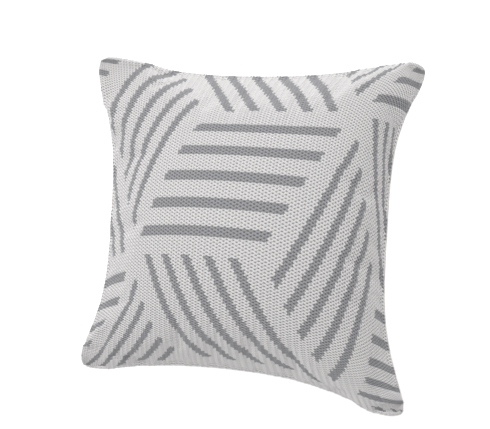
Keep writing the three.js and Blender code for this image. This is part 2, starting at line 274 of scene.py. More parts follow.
def settle(shape):
    """How far the stuffed cloth moves, as two knot grids, front and back.

    Both panels are one closed cloth, sewn at the seam, a little bigger than the form it starts on. It is
    blown up with the seam and the zip held, without gravity, for 20 frames, and each move is capped.
    """
    if SETTLED:
        return SETTLED
    knots = np.linspace(-1, 1, KNOTS)
    s, t = np.meshgrid(knots, knots)
    front = cushion_surface(shape, s, t, 1)
    back = cushion_surface(shape, s, t, -1)
    SETTLED["front"] = np.zeros_like(front)
    SETTLED["back"] = np.zeros_like(back)
    kept, faces = joined_skins(KNOTS, (np.abs(s) == 1) | (np.abs(t) == 1))
    start = np.concatenate([front.reshape(-1, 3), back.reshape(-1, 3)])
    cloth = mesh_of("settling_cloth", start[kept], [faces])
    held = cloth.vertex_groups.new(name="held")
    all_s = np.concatenate([s.ravel(), s.ravel()])[kept]
    all_t = np.concatenate([t.ravel(), t.ravel()])[kept]
    below = kept >= KNOTS * KNOTS
    at_zip = below & (all_t < HELD_BELOW)
    pinned = (np.abs(all_s) == 1) | (np.abs(all_t) == 1) | at_zip
    held.add(np.flatnonzero(pinned).tolist(), 1.0, "REPLACE")
    modifier = cloth.modifiers.new("Cloth", "CLOTH")
    cloth_settings = modifier.settings
    cloth_settings.quality = 6
    cloth_settings.mass = 0.3
    cloth_settings.use_pressure = True
    cloth_settings.uniform_pressure_force = 4
    cloth_settings.shrink_min = -0.035
    cloth_settings.bending_stiffness = 1.5
    cloth_settings.vertex_group_mass = held.name
    cloth_settings.effector_weights.gravity = 0
    modifier.point_cache.frame_start = 1
    modifier.point_cache.frame_end = SETTLING_FRAMES
    for number in range(1, SETTLING_FRAMES + 1):
        bpy.context.scene.frame_set(number)
    settled = cloth.evaluated_get(bpy.context.evaluated_depsgraph_get()).to_mesh()
    moved = np.zeros(len(settled.vertices) * 3, np.float32)
    settled.vertices.foreach_get("co", moved)
    move = moved.reshape(-1, 3) - start[kept]
    bpy.context.scene.frame_set(1)
    bpy.data.objects.remove(cloth)
    length = np.linalg.norm(move, axis=1, keepdims=True)
    if not np.isfinite(length).all():
        raise RuntimeError("the cloth came apart while it settled")
    move *= shape.settle_limit * np.tanh(length / shape.settle_limit) / np.maximum(length, 1e-9)
    whole = np.zeros_like(start)
    whole[kept] = move
    SETTLED["front"] = whole[:KNOTS * KNOTS].reshape(KNOTS, KNOTS, 3)
    SETTLED["back"] = whole[KNOTS * KNOTS:].reshape(KNOTS, KNOTS, 3)
    return SETTLED


def settled_move(shape, name, s_line, t_line):
    """The settled cloth's move at every crossing of two lines of fabric coordinates, by cubic weights."""
    knots = settle(shape)[name]
    return np.einsum("ri,ijk,cj->rck", cubic_weights(KNOTS, t_line), knots, cubic_weights(KNOTS, s_line))


# ---------------------------------------------------------------- the knit

# One repeat of the jacquard is a hexagon of three leaning blocks, each 24 wales wide, striped three ways.
BLOCK_WALES = 24
BLOCK_COURSES = 45
LEAN = 3.75
STRIPES = 5
LEVEL_PERIOD, LEVEL_GREY = 8, 3
SLOPE_PERIOD, SLOPE_GREY = 4, 1.5
PATTERN_WALE = 4.1
PATTERN_COURSE = -8.9
END_GAPS = {"level": 0.6, "rising": 0.6, "falling": 0.4}
REPEATS = 3


def grey_stitches(wale, course):
    """Whether each stitch is grey, for arrays of wales and courses counted from the panel's middle.

    A stitch's place is measured from the middle of the hexagon. `rising` is its wale less its course over
    the lean, so it stays the same along a line that climbs to the right, and `falling` is the sum. The
    level block holds level stripes above and left of the middle, the rising block holds stripes along
    rising lines to its right, and the falling block holds stripes along falling lines below it. Columns
    of hexagons stand a block and a half apart.
    """
    grey = np.zeros(np.broadcast(wale, course).shape, bool)

    def striped(place, length, period, width):
        first = (length - (STRIPES - 1) * period - width) / 2
        step = place - first
        return (step >= 0) & (step < (STRIPES - 1) * period + width) & (np.mod(step, period) < width)

    def within(place, gap):
        return (place > gap) & (place < BLOCK_WALES - gap)

    for i in range(-REPEATS, REPEATS + 1):
        for j in range(-REPEATS, REPEATS + 1):
            if (i + j) % 2:
                continue
            x = wale - PATTERN_WALE - BLOCK_WALES * 1.5 * i
            y = course - PATTERN_COURSE - BLOCK_COURSES * j
            rising = x - y / LEAN
            falling = x + y / LEAN
            level_block = striped(y, BLOCK_COURSES, LEVEL_PERIOD, LEVEL_GREY)
            level_block = level_block & within(rising + BLOCK_WALES, END_GAPS["level"])
            rising_block = striped(rising, BLOCK_WALES, SLOPE_PERIOD, SLOPE_GREY)
            rising_block = rising_block & within(falling, END_GAPS["rising"])
            falling_block = striped(falling + BLOCK_WALES, BLOCK_WALES, SLOPE_PERIOD, SLOPE_GREY)
            depth = -y * BLOCK_WALES / BLOCK_COURSES
            falling_block = falling_block & within(depth, END_GAPS["falling"])
            grey = grey | level_block | rising_block | falling_block
    return grey


def grey_faces(knit, per_wale, per_course):
    """Which faces of a stitch grid are grey. A face takes the colour of the leg of the stitch that its
    middle falls in, and each leg is half a wale wide and half a course high."""
    wale = (np.arange(knit.wales * per_wale) + 0.5)[None, :] / per_wale
    course = (np.arange(knit.courses * per_course) + 0.5)[:, None] / per_course
    course = course + 0.5 - np.abs(np.mod(wale, 1) - 0.5)
    leg_wale = (np.floor(wale * 2) + 0.5) / 2
    leg_course = (np.floor(course * 2) + 0.5) / 2
    return grey_stitches(leg_wale - knit.wales / 2, leg_course - knit.courses / 2)


GAP_SLANT = 0.3
GAP_START = 0.15


def knit_lines(wales, courses, per_wale, per_course):
    """Fabric coordinates of a stitch grid, and the height field of its loops from 0 to 1.

    Each row of points climbs half a course to the middle of a wale and comes down again, and runs level
    at the panel's ends. The height is one half less half of the cosine of the wale times the cosine of
    the course, which makes plump loops with gaps in staggered columns, leant a little by the product of
    the two sines. `gap` is 1 in the bottom of a gap and 0 on the loops.
    """
    wale = np.arange(wales * per_wale + 1) / per_wale
    course = np.arange(courses * per_course + 1) / per_course
    climb = 0.5 - np.abs(np.mod(wale, 1) - 0.5)
    easing = smooth(np.minimum(course, courses - course))
    height = course[:, None] + climb[None, :] * easing[:, None]
    s = np.broadcast_to(wale[None, :] / wales * 2 - 1, height.shape)
    t = height / courses * 2 - 1
    lattice = np.cos(2 * np.pi * wale)[None, :] * np.cos(2 * np.pi * height)
    slant = np.sin(2 * np.pi * wale)[None, :] * np.sin(2 * np.pi * height)
    place = lattice - GAP_SLANT * slant
    gap = smooth((place - GAP_START) / (1 - GAP_START))
    loop_height = 0.5 - 0.5 * place - 0.5 * gap
    return wale / wales * 2 - 1, course / courses * 2 - 1, s, t, loop_height, gap


SEAM_BELL = 2.5 * MM
SEAM_FADE = 3 * MM


def seam_turn(shape, points):
    """Each point's distance from its panel's edge, and how far it turns in there, which fades as a bell."""
    steps_up = np.linalg.norm(np.diff(points, axis=0), axis=-1)
    steps_along = np.linalg.norm(np.diff(points, axis=1), axis=-1)
    rows, columns = points.shape[:2]
    from_start = np.concatenate([np.zeros((1, columns)), np.cumsum(steps_up, axis=0)])
    from_left = np.concatenate([np.zeros((rows, 1)), np.cumsum(steps_along, axis=1)], axis=1)
    edge = np.minimum(from_start, from_start[-1:] - from_start)
    edge = np.minimum(edge, np.minimum(from_left, from_left[:, -1:] - from_left))
    return edge, shape.seam_groove * np.exp(-(edge / SEAM_BELL) ** 2)


def closed_panel(outer, inner, skip, side, uv):
    """A panel with a wall: a fine outer grid, a coarse inner grid that takes every skip-th point, and rims.

    Each rim face joins one step of the inner edge to the run of outer points beside it.
    """
    skip_up, skip_along = skip
    rows, columns = outer.shape[:2]
    in_rows, in_columns = inner.shape[:2]
    start = rows * columns
    outer_numbers = np.arange(start).reshape(rows, columns)
    inner_numbers = np.arange(in_rows * in_columns).reshape(in_rows, in_columns) + start

    def rim(fine, coarse, step, flip):
        cells = np.arange(len(coarse) - 1)[:, None]
        runs = fine[cells * step + np.arange(step + 1)[None, :]]
        face = np.concatenate([runs, coarse[1:][:, None], coarse[:-1][:, None]], axis=1)
        return face[:, ::-1] if flip else face

    front = side > 0
    faces = [
        quads(rows, columns, 0, not front),
        quads(in_rows, in_columns, start, front),
        rim(outer_numbers[0], inner_numbers[0], skip_along, front),
        rim(outer_numbers[-1], inner_numbers[-1], skip_along, not front),
        rim(outer_numbers[:, 0], inner_numbers[:, 0], skip_up, not front),
        rim(outer_numbers[:, -1], inner_numbers[:, -1], skip_up, front),
    ]
    points = np.concatenate([outer.reshape(-1, 3), inner.reshape(-1, 3)])
    inner_uv = uv[::skip_up, ::skip_along]
    return points, faces, np.concatenate([uv.reshape(-1, 2), inner_uv.reshape(-1, 2)])


def set_attribute(piece, name, values, domain):
    """Stores one number for each point or face of a piece."""
    layer = piece.data.attributes.new(name=name, type="FLOAT", domain=domain)
    layer.data.foreach_set("value", np.ascontiguousarray(values, dtype=np.float32).ravel())


PER_WALE = 8
PER_COURSE = 6
PLAIN_COURSES = 4  # plain rows that are knitted first, beside the bottom seam


def make_front(shape, knit):
    """The jacquard front: the stuffed form plus its settling, with each loop raised along the normal."""
    s_line, t_line, s, t, loop_height, gap = knit_lines(knit.wales, knit.courses, PER_WALE, PER_COURSE)
    lie_s, lie_t = crept(s, t)
    base = cushion_surface(shape, lie_s, lie_t, 1) + settled_move(shape, "front", s_line, t_line)
    out = normals_of(base, 1)
    edge, turn = seam_turn(shape, base)
    fade = smooth(edge / SEAM_FADE)
    outer = base + out * (knit.relief * loop_height * fade - turn)[..., None]
    inner = (base - out * shape.wall)[::PER_COURSE, ::PER_WALE]
    uv = np.stack([s, t], axis=-1) * FABRIC_HALF
    points, faces, uv = closed_panel(outer, inner, (PER_COURSE, PER_WALE), 1, uv)
    piece = mesh_of("knit_front_panel", points, faces, uv)
    grey = grey_faces(knit, PER_WALE, PER_COURSE)
    grey[:PLAIN_COURSES * PER_COURSE] = False
    by_face = np.zeros(len(piece.data.polygons))
    by_face[:grey.size] = grey.ravel()
    set_attribute(piece, "grey_yarn", by_face, "FACE")
    # The loops' gaps, faded at the seam, also mark where the yarn material paints shade into its colour.
    by_point = np.zeros(len(points))
    by_point[:gap.size] = (gap * fade).ravel()
    set_attribute(piece, "loop_gap", by_point, "POINT")
    return piece


BACK_PER_WALE = 5
BACK_PER_COURSE = 4
FACING_COURSES = 6


# The chain runs this far up the back from the seam. Its opening's half length and half width, and the
# run over which the opening closes at each end.
SEAM_TO_ZIP = 10.5 * MM
OPENING_HALF_LENGTH = 160 * MM
OPENING_HALF_WIDTH = 4.2 * MM
OPENING_END = 12 * MM
COIL_MIDDLE = 1.05 * MM  # from the tapes' plane out to the middle of the coils

# The arc of the fabric over the chain: how far it stands out, its radius, and how far it reaches.
ARC_STAND = 3.2 * MM
ARC_RADIUS = 26 * MM
ARC_REACH = 24 * MM
# The arc eases in from the seam. Then it fades out up the back, and towards the corners: end and run.
EASE_IN = 7 * MM
FADE_END, FADE_RUN = 60 * MM, 42 * MM
SIDE_END, SIDE_RUN = 200 * MM, 36 * MM


def zip_middle():
    """The middle of the zip's chain, on the plane of its tapes, from the two packed coils."""
    low, high = (np.array(corner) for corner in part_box("zipper_coil_front"))
    low_back, high_back = (np.array(corner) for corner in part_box("zipper_coil_back"))
    middle = (np.minimum(low, low_back) + np.maximum(high, high_back)) / 2
    return middle - ZIP_OUT * COIL_MIDDLE


def over_zip(points, arc, origin):
    """Lays back fabric over the zip: near the seam it follows a gentle arc across the chain.

    The arc stands out of the tapes at the chain and falls off as the square of the distance from it over
    twice its radius. It fades to the stuffed form further from the seam and at the corners, and eases in
    at the seam, which stays where it is.
    """
    up = SEAM_TO_ZIP - arc
    stand = ARC_STAND - np.minimum(up ** 2, ARC_REACH ** 2) / (2 * ARC_RADIUS)
    target = origin + points[..., :1] * ZIP_ALONG + up[..., None] * ZIP_UP + stand[..., None] * ZIP_OUT
    weight = smooth(arc / EASE_IN) * smooth((FADE_END - arc) / FADE_RUN)
    weight = weight * smooth((SIDE_END - np.abs(points[..., 0])) / SIDE_RUN)
    return points + (target - points) * weight[..., None]


def back_part(shape, knit, wales, courses, first, last, arc_from_seam):
    """Half of the back between two lines of t, as outer and inner grids with its fabric coordinates."""
    s_line, rows, s, share, loop_height, gap = knit_lines(wales, courses, BACK_PER_WALE, BACK_PER_COURSE)
    share = (share + 1) / 2
    t = first[None, :] + (last - first)[None, :] * share
    t_line = first.mean() + (last.mean() - first.mean()) * (rows + 1) / 2
    base = cushion_surface(shape, s, t, -1) + settled_move(shape, "back", s_line, np.clip(t_line, -1, 1))
    steps = np.linalg.norm(np.diff(base, axis=0), axis=-1)
    arc = arc_from_seam[None, :] + np.concatenate([np.zeros((1, len(s_line))), np.cumsum(steps, axis=0)])
    base = over_zip(base, arc, zip_middle())
    out = normals_of(base, -1)
    edge, turn = seam_turn(shape, base)
    fade = smooth(edge / SEAM_FADE)
    outer = base + out * (knit.back_relief * loop_height * fade - turn)[..., None]
    inner = (base - out * shape.wall)[::BACK_PER_COURSE, ::BACK_PER_WALE]
    outer[..., 2] = np.maximum(outer[..., 2], 0)
    inner[..., 2] = np.maximum(inner[..., 2], shape.wall)
    return outer, inner, np.stack([s, t], axis=-1) * FABRIC_HALF, gap * fade


# The lines of t that are searched for the opening's edges, and how far up from the seam they go.
SEARCH_LINES = 400
SEARCH_REACH = 0.4


def make_back(shape, knit):
    """The plain back: a narrow facing below the zip and the main panel above it, apart where the zip opens.

    The opening's two edges run beside the chain, plus and minus a half width that closes with an eased
    step at the ends of the zip.
    """
    s_line = np.linspace(-1, 1, knit.back_wales * BACK_PER_WALE + 1)
    t_line = -1 + np.linspace(0, 1, SEARCH_LINES) ** 2 * SEARCH_REACH
    s, t = np.meshgrid(s_line, t_line)
    near_seam = cushion_surface(shape, s, t, -1)
    steps = np.linalg.norm(np.diff(near_seam, axis=0), axis=-1)
    arc = np.concatenate([np.zeros((1, len(s_line))), np.cumsum(steps, axis=0)])
    x = near_seam[0, :, 0]
    opening = OPENING_HALF_WIDTH * smooth((OPENING_HALF_LENGTH - np.abs(x)) / OPENING_END)
    columns = np.arange(len(s_line))

    def at(distance):
        after = np.argmax(arc > distance[None, :], axis=0)
        low, high = arc[after - 1, columns], arc[after, columns]
        share = (distance - low) / (high - low)
        return t_line[after - 1] + share * (t_line[after] - t_line[after - 1])

    edge_line = np.full(len(s_line), SEAM_TO_ZIP)
    lower_edge = at(edge_line - opening)
    upper_edge = at(edge_line + opening)
    ends = np.full(len(s_line), -1.0)
    facing = back_part(shape, knit, knit.back_wales, FACING_COURSES, ends, lower_edge, np.zeros(len(s_line)))
    main = back_part(shape, knit, knit.back_wales, knit.back_courses - FACING_COURSES,
                     upper_edge, -ends, edge_line + opening)
    all_points, all_faces, all_uv, all_gap = [], [], [], []
    count = 0
    for outer, inner, uv, gap in (facing, main):
        points, faces, uv = closed_panel(outer, inner, (BACK_PER_COURSE, BACK_PER_WALE), -1, uv)
        all_points.append(points)
        all_faces += [f + count for f in faces]
        all_uv.append(uv)
        all_gap.append(np.concatenate([gap.ravel(), np.zeros(inner.shape[0] * inner.shape[1])]))
        count += len(points)
    piece = mesh_of("knit_back_panel", np.concatenate(all_points), all_faces, np.concatenate(all_uv))
    # The same gap mask carries the back yarn's painted shade.
    set_attribute(piece, "loop_gap", np.concatenate(all_gap), "POINT")
    return piece


# ---------------------------------------------------------------- threads and coils

BEND_BIAS = np.array((1e-6, 2e-6, 3e-6))
STRAND_SIDES = 5
STITCH_SIDES = 6


def tube(name, path, radius, sides):
    """A closed round strand along a path of points.

    At each point the path's direction is crossed with a slowly changing second direction, and a ring of
    points is laid on the two directions square to the path. Each end closes in one face. A slight bias
    in the bend gives a straight run a second direction too.
    """
    along = np.gradient(path, axis=0)
    along /= np.linalg.norm(along, axis=1, keepdims=True)
    bend = np.gradient(along, axis=0) + BEND_BIAS
    beside = np.cross(along, bend)
    beside /= np.maximum(np.linalg.norm(beside, axis=1, keepdims=True), 1e-12)
    flips = np.sign(np.einsum("ij,ij->i", beside[1:], beside[:-1]))
    beside[1:] *= np.cumprod(np.where(flips == 0, 1, flips))[:, None]
    square = np.cross(along, beside)
    turn = np.linspace(0, 2 * np.pi, sides, endpoint=False)
    ring = np.cos(turn)[None, :, None] * beside[:, None] + np.sin(turn)[None, :, None] * square[:, None]
    points = path[:, None] + ring * radius
    numbers = np.arange(len(path) * sides).reshape(len(path), sides)
    after = np.roll(numbers, -1, axis=1)
    walls = np.stack([numbers[:-1], numbers[1:], after[1:], after[:-1]], axis=-1).reshape(-1, 4)
    ends = [numbers[:1], numbers[-1:, ::-1]]
    piece = mesh_of(name, points.reshape(-1, 3), [walls[:, ::-1], ends[0][:, ::-1], ends[1][:, ::-1]])
    recalculated(piece)
    return piece


def recalculated(piece):
    """Turns every face of a closed piece outwards."""
    mesh = bmesh.new()
    mesh.from_mesh(piece.data)
    bmesh.ops.recalc_face_normals(mesh, faces=mesh.faces)
    mesh.to_mesh(piece.data)
    mesh.free()


COIL_PITCH = 1.5 * MM
COIL_STRAND = 0.3 * MM
COIL_HALF_WIDTH, COIL_HALF_DEPTH = 1.05 * MM, 0.75 * MM
COIL_OFFSET = 1.55 * MM  # from the chain's middle to the middle of either coil
COIL_HALF_LENGTH = 139 * MM
COIL_TURN_POINTS = 10


def coil_path(origin, side):
    """A nylon coil's centre line: a flattened spiral, one turn for each pitch."""
    turns = int(2 * COIL_HALF_LENGTH / COIL_PITCH)
    angle = np.linspace(0, 2 * np.pi * turns, turns * COIL_TURN_POINTS + 1)
    x = (angle / (2 * np.pi) - turns / 2) * COIL_PITCH
    up = side * (COIL_OFFSET + (COIL_HALF_WIDTH - COIL_STRAND) * np.cos(angle))
    out = COIL_MIDDLE + (COIL_HALF_DEPTH - COIL_STRAND) * np.sin(angle)
    return origin + x[:, None] * ZIP_ALONG + up[:, None] * ZIP_UP + out[:, None] * ZIP_OUT


# An overlock thread's half length, its distance inside the seam, its swing across and its swing up.
OVERLOCK_REACH = 168 * MM
OVERLOCK_INSIDE = 4 * MM
OVERLOCK_SWING, OVERLOCK_LIFT = 1.6 * MM, 1.4 * MM
OVERLOCK_LOOPS = 84
OVERLOCK_RADIUS = 0.3 * MM
LOOP_POINTS = 12
# Each side's direction from its seam towards the middle.
INWARD = {"top": (0, -1, 0), "left": (1, 0, 0), "bottom": (0, 1, 0), "right": (-1, 0, 0)}


def overlock_path(shape, side_name):
    """An overlock thread on one side's seam allowance, which swings across it and up and down as it goes."""
    reach = OVERLOCK_REACH / FABRIC_HALF
    along = np.linspace(-reach, reach, OVERLOCK_LOOPS * LOOP_POINTS + 1)
    inward = np.array(INWARD[side_name])
    s, t = (np.full_like(along, -step) if step else along for step in inward[:2])
    swing = np.linspace(0, 2 * np.pi * OVERLOCK_LOOPS, len(along))
    path = cushion_surface(shape, s, t, 1)
    path = path + inward * (OVERLOCK_INSIDE + OVERLOCK_SWING * np.cos(swing))[:, None]
    path[:, 2] += OVERLOCK_LIFT * np.sin(swing)
    return path


def cover_faces(shape, s_line, t_line):
    """Front and back of the settled cover at every crossing of two lines of fabric coordinates."""
    s, t = np.meshgrid(s_line, t_line)
    front = cushion_surface(shape, *crept(s, t), 1) + settled_move(shape, "front", s_line, t_line)
    back = cushion_surface(shape, s, t, -1) + settled_move(shape, "back", s_line, t_line)
    back[..., 2] = np.maximum(back[..., 2], 0)
    return front, back


# The insert's two forms: how far over the fabric each reaches, its room inside the cover, the height of
# its lumps, and its points on a side.
CASING_REACH = 0.86
CASING = (CASING_REACH, 8 * MM, 0.6 * MM, 121)
FILLING = (0.82, 12 * MM, 1.6 * MM, 97)
LEAST_HALF = 0.5 * MM
CLOSING_POWER = 8
# The lumps as pairs of crossed sine waves: strength, then each wave's rate over s and over t.
LUMP_WAVES = ((1.0, (11, 2), (-3, 9)), (0.6, (23, -5), (4, 19)))


def inner_form(name, shape, reach, room, lumps, count):
    """A closed stuffed form inside the cover, front and back in one skin, with soft lumps.

    Each point lies on the line between the cover's front and back, which is shortened by some room at
    both ends. The form closes at its reach by the square root of (1 - s^n)(1 - t^n), with s and t over
    the reach and n the closing power. The lumps fade to nothing at the edge. Whatever comes nearer to the
    zip's tapes than half of the room is pressed flat behind them.
    """
    line = np.sin(np.linspace(-1, 1, count) * np.pi / 2)
    s, t = np.meshgrid(line, line)
    front, back = cover_faces(shape, line * reach, line * reach)
    middle = (front + back) / 2
    half = (front - back) / 2
    depth = np.linalg.norm(half, axis=-1)
    wave = sum(
        strength * np.sin(a * s + b * t) * np.sin(c * s + d * t)
        for strength, (a, b), (c, d) in LUMP_WAVES)
    fade = ((1 - s ** 2) * (1 - t ** 2)) ** 0.5
    closing = np.sqrt((1 - s ** CLOSING_POWER) * (1 - t ** CLOSING_POWER))
    stand = np.maximum(depth - room, LEAST_HALF) * closing
    unit = half / depth[..., None]
    front = middle + unit * (stand + lumps * wave * fade)[..., None]
    back = middle - unit * (stand + lumps * wave[:, ::-1] * fade)[..., None]
    origin = zip_middle()
    for skin in (front, back):
        near_zip = np.maximum((skin - origin) @ ZIP_OUT + room / 2, 0)
        skin -= near_zip[..., None] * ZIP_OUT
    kept, faces = joined_skins(count, (np.abs(s) == 1) | (np.abs(t) == 1))
    points = np.concatenate([front.reshape(-1, 3), back.reshape(-1, 3)])[kept]
    uv = np.stack([np.stack([s, t], axis=-1)] * 2).reshape(-1, 2)[kept] * FABRIC_HALF
    return mesh_of(name, points, [faces], uv)


CLOSING_REACH = 0.26
CLOSING_LOOPS = 30
CLOSING_SWING, CLOSING_LIFT = 1.2 * MM, 1.4 * MM
CLOSING_RADIUS = 0.35 * MM


def closing_path(shape):
    """The whip stitches that close the casing: about one turn every 4 mm round the top edge, for 119 mm."""
    along = np.linspace(-CLOSING_REACH, CLOSING_REACH, CLOSING_LOOPS * LOOP_POINTS + 1)
    front, back = cover_faces(shape, along, np.array([CASING_REACH]))
    swing = np.linspace(0, 2 * np.pi * CLOSING_LOOPS, len(along))
    path = (front[0] + back[0]) / 2
    path[:, 1] += CLOSING_SWING * np.cos(swing)
    path[:, 2] += CLOSING_LIFT * np.sin(swing)
    return path


# The label's spans over the fabric, each with its count of points, its depth under the back, and its own
# thickness.
LABEL_ACROSS = (-0.985, -0.945, 9)
LABEL_UP = (-0.37, -0.24, 25)
LABEL_DEPTH, LABEL_THICKNESS = 4 * MM, 0.4 * MM


def make_label(shape):
    """A blank satin ribbon, 30 mm by 9 mm, beside the left seam, which lies along the back's inside."""
    s_line = np.linspace(*LABEL_ACROSS)
    t_line = np.linspace(*LABEL_UP)
    back = cover_faces(shape, s_line, t_line)[1]
    out = normals_of(back, -1)
    s, t = np.meshgrid(s_line, t_line)
    uv = np.stack([s, t], axis=-1) * FABRIC_HALF
    points, faces, uv = closed_panel(
        back - out * LABEL_DEPTH, back - out * (LABEL_DEPTH + LABEL_THICKNESS), (1, 1), -1, uv)
    return mesh_of("satin_label", points, faces, uv)


# ---------------------------------------------------------------- materials

def add_node(material, kind, settings=(), links=()):
    """Adds one shader node. Settings are (socket or property, value), links are (socket, output)."""
    tree = material.node_tree
    node = tree.nodes.new(kind)
    for name, value in settings:
        if isinstance(name, str) and name not in node.inputs:
            setattr(node, name, value)
        else:
            node.inputs[name].default_value = value
    for name, output in links:
        tree.links.new(output, node.inputs[name])
    return node


def new_material(name, surface):
    """A material with a Principled surface that holds the given constants."""
    material = bpy.data.materials.new(name)
    material.use_nodes = True
    nodes = material.node_tree.nodes
    shader = nodes["Principled BSDF"]
    for socket, value in surface:
        shader.inputs[socket].default_value = value
    return material, shader


def blended(material, factor, low, high):
    """A colour that goes from low to high with a factor. Each is a colour or an output."""
    mix = add_node(material, "ShaderNodeMix", [("data_type", "RGBA")], [(0, factor)])
    for index, colour in ((6, low), (7, high)):
        if isinstance(colour, bpy.types.NodeSocket):
            material.node_tree.links.new(colour, mix.inputs[index])
        else:
            mix.inputs[index].default_value = tuple(colour)
    return mix.outputs[2]


def darker(colour, share):
    """A share of a colour's red, green and blue."""
    return [channel * share for channel in colour[:3]] + [1.0]


def noise(material, place, size, detail):
    """Noise of one size over a place, from 0 to 1."""
    node = add_node(material, "ShaderNodeTexNoise", [("Scale", 1 / size), ("Detail", detail)],
                    [("Vector", place)])
    return node.outputs["Fac"]


def ranged(material, value, low, high):
    """A value from 0 to 1 spread over low to high."""
    return add_node(material, "ShaderNodeMapRange", [("To Min", low), ("To Max", high)],
                    [("Value", value)]).outputs[0]


def bumped(material, height, strength, distance, under=()):
    """The normal that a height output raises, over the normal under it where there is one."""
    bump = add_node(material, "ShaderNodeBump", [("Strength", strength), ("Distance", distance)],
                    [("Height", height), *under])
    return bump.outputs["Normal"]


def join_up(material, shader, tone, normal):
    """Links a colour and a normal to the surface, and gives the finished material."""
    material.node_tree.links.new(tone, shader.inputs["Base Color"])
    material.node_tree.links.new(normal, shader.inputs["Normal"])
    return material


# A wave texture's phase over one full band.
WAVE_TURN = 6.28


def yarn_material(name, plain, stripe, gap_painted_shade, yarn_mm):
    """Carded cotton yarn, knitted: matt, a little fuzzy, with plied strands and shade in the loops' gaps.

    Fibres catch light at a grazing angle, which gives a pale bloom. The ply shows as fine slanting ribs.
    """
    material, shader = new_material(name, (
        ("Roughness", 0.92), ("IOR", 1.53), ("Sheen Weight", 0.25), ("Sheen Roughness", 0.5),
        ("Specular IOR Level", 0.25)))
    place = add_node(material, "ShaderNodeUVMap", [("uv_map", "fabric")]).outputs["UV"]
    gap = add_node(material, "ShaderNodeAttribute", [("attribute_name", "loop_gap")])
    fluff = noise(material, place, 2.4 * MM, 3.0)
    drift = noise(material, place, 45 * MM, 2.0)
    ground = blended(material, drift, darker(plain, 0.965), plain)
    if stripe is not None:
        grey = add_node(material, "ShaderNodeAttribute", [("attribute_name", "grey_yarn")])
        dyed = blended(material, fluff, darker(stripe, 0.9), stripe)
        ground = blended(material, grey.outputs["Fac"], ground, dyed)
    mottled = ranged(material, fluff, 0.93, 1.03)
    # Painted shade: the yarn's colour falls to the given share of itself in the gaps between loops, where
    # little light reaches.
    shaded = ranged(material, gap.outputs["Fac"], 1.0, gap_painted_shade)
    strength = add_node(material, "ShaderNodeMath", [("operation", "MULTIPLY")], [(0, mottled), (1, shaded)])
    tone = add_node(material, "ShaderNodeVectorMath", [("operation", "SCALE")],
                    [(0, ground), ("Scale", strength.outputs[0])])
    ply = add_node(material, "ShaderNodeTexWave",
                   [("Scale", 1 / (yarn_mm * MM) / WAVE_TURN), ("Distortion", 2.5),
                    ("bands_direction", "DIAGONAL")], [("Vector", place)])
    ribs = bumped(material, ply.outputs["Fac"], 0.35, 0.25 * MM)
    fuzz = bumped(material, fluff, 0.5, 0.3 * MM, [("Normal", ribs)])
    return join_up(material, shader, tone.outputs[0], fuzz)


def fibre_material(name, colour_hex, scale_mm, surface, bump_mm):
    """Spun or woven synthetic fibre: two tones of one colour, mottled at the size of its threads."""
    material, shader = new_material(name, surface)
    place = add_node(material, "ShaderNodeTexCoord").outputs["Object"]
    threads = noise(material, place, scale_mm * MM, 4.0)
    colour = linear(colour_hex)
    tone = blended(material, threads, darker(colour, 0.85), colour)
    return join_up(material, shader, tone, bumped(material, threads, 0.6, bump_mm * MM))


def woven_material(name, colour_hex, thread_mm, surface):
    """Woven cloth: two sets of ribs square to each other, one thread apart, over a plain colour."""
    material, shader = new_material(name, surface)
    place = add_node(material, "ShaderNodeTexCoord").outputs["Object"]
    scale = 1 / (thread_mm * MM) / (WAVE_TURN / 2)
    ribs = [
        add_node(material, "ShaderNodeTexWave",
                 [("Scale", scale), ("bands_direction", direction), ("Distortion", 0.6)],
                 [("Vector", place)]).outputs["Fac"]
        for direction in ("X", "Y")]
    weave = add_node(material, "ShaderNodeMath", [("operation", "MULTIPLY")], [(0, ribs[0]), (1, ribs[1])])
    colour = linear(colour_hex)
    tone = blended(material, weave.outputs[0], darker(colour, 0.8), colour)
    return join_up(material, shader, tone, bumped(material, weave.outputs[0], 0.5, thread_mm * 0.3 * MM))


def plated_material(name, colour_hex):
    """Die-cast zinc, tumbled and nickel plated: soft bright metal with faint pits and smoother worn spots."""
    material, shader = new_material(name, (("Metallic", 1.0),))
    place = add_node(material, "ShaderNodeTexCoord").outputs["Object"]
    wear = noise(material, place, 1.2 * MM, 5.0)
    colour = linear(colour_hex)
    tone = blended(material, wear, darker(colour, 0.9), colour)
    material.node_tree.links.new(ranged(material, wear, 0.22, 0.42), shader.inputs["Roughness"])
    return join_up(material, shader, tone, bumped(material, wear, 0.15, 0.05 * MM))


CLOTH = (("Roughness", 0.85), ("IOR", 1.53), ("Sheen Weight", 0.2), ("Specular IOR Level", 0.3))
SYNTHETIC = (("Roughness", 0.55), ("IOR", 1.57), ("Sheen Weight", 0.15))


